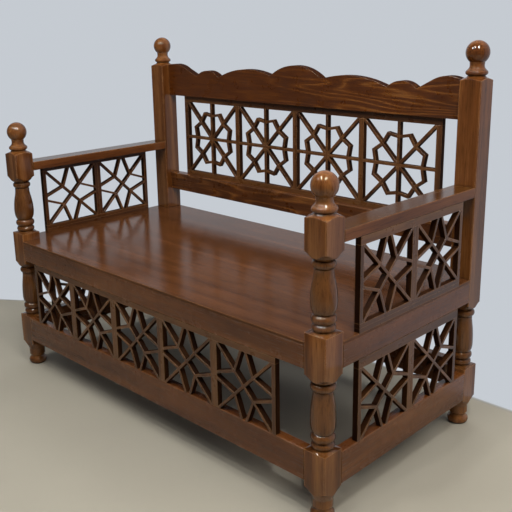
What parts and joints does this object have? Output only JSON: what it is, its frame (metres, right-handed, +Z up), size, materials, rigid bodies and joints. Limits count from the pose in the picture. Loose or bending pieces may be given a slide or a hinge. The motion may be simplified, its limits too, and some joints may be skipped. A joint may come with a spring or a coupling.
{
  "type": "takht bench",
  "caption": "Wooden two-seat takht bench with turned posts and ball finials, scalloped crest rail and open star and rosette lattice panels in its back, arms and base.",
  "frame": {"origin": "on the floor, in the middle of the plan", "axes": "+X along the bench towards its right arm, +Y towards its back, +Z up"},
  "size_m": [1.371, 0.696, 1.1035],
  "materials": {
    "turned_wood": "walnut stain under gloss varnish",
    "rail_wood": "walnut stain under gloss varnish, grain along the rail",
    "seat_wood": "red-brown stain under high-gloss varnish",
    "lattice_wood": "walnut stain under satin varnish",
    "bearer_wood": "plain sawn wood, unvarnished"
  },
  "bodies": {
    "root": {"back_lattice_bottom_strip": "lattice_wood", "back_lattice_cross_strips": "lattice_wood", "back_lattice_petal_strips": "lattice_wood", "back_lattice_rays": "lattice_wood", "back_lattice_stiles": "lattice_wood", "back_lattice_top_strip": "lattice_wood", "back_left_post": "turned_wood", "back_lower_rail": "rail_wood", "back_panel_rail": "rail_wood", "back_right_post": "turned_wood", "back_seat_cleat": "bearer_wood", "back_seat_rail": "rail_wood", "crest_rail": "rail_wood", "front_lattice_diagonals": "lattice_wood", "front_lattice_star_strips": "lattice_wood", "front_lattice_stiles": "lattice_wood", "front_lattice_top_strip": "lattice_wood", "front_left_post": "turned_wood", "front_lower_rail": "rail_wood", "front_right_post": "turned_wood", "front_seat_cleat": "bearer_wood", "front_seat_rail": "rail_wood", "left_arm_lattice_batten": "lattice_wood", "left_arm_lattice_bottom_strip": "lattice_wood", "left_arm_lattice_diagonals": "lattice_wood", "left_arm_lattice_star_strips": "lattice_wood", "left_arm_lattice_stiles": "lattice_wood", "left_arm_lattice_top_strip": "lattice_wood", "left_arm_rail": "rail_wood", "left_lower_lattice_diagonals": "lattice_wood", "left_lower_lattice_star_strips": "lattice_wood", "left_lower_lattice_stiles": "lattice_wood", "left_lower_lattice_top_strip": "lattice_wood", "left_lower_rail": "rail_wood", "left_seat_cleat": "bearer_wood", "left_seat_rail": "rail_wood", "right_arm_lattice_batten": "lattice_wood", "right_arm_lattice_bottom_strip": "lattice_wood", "right_arm_lattice_diagonals": "lattice_wood", "right_arm_lattice_star_strips": "lattice_wood", "right_arm_lattice_stiles": "lattice_wood", "right_arm_lattice_top_strip": "lattice_wood", "right_arm_rail": "rail_wood", "right_lower_lattice_diagonals": "lattice_wood", "right_lower_lattice_star_strips": "lattice_wood", "right_lower_lattice_stiles": "lattice_wood", "right_lower_lattice_top_strip": "lattice_wood", "right_lower_rail": "rail_wood", "right_seat_cleat": "bearer_wood", "right_seat_rail": "rail_wood", "seat_bearers": "bearer_wood", "seat_board": "seat_wood"}
  },
  "joints": []
}
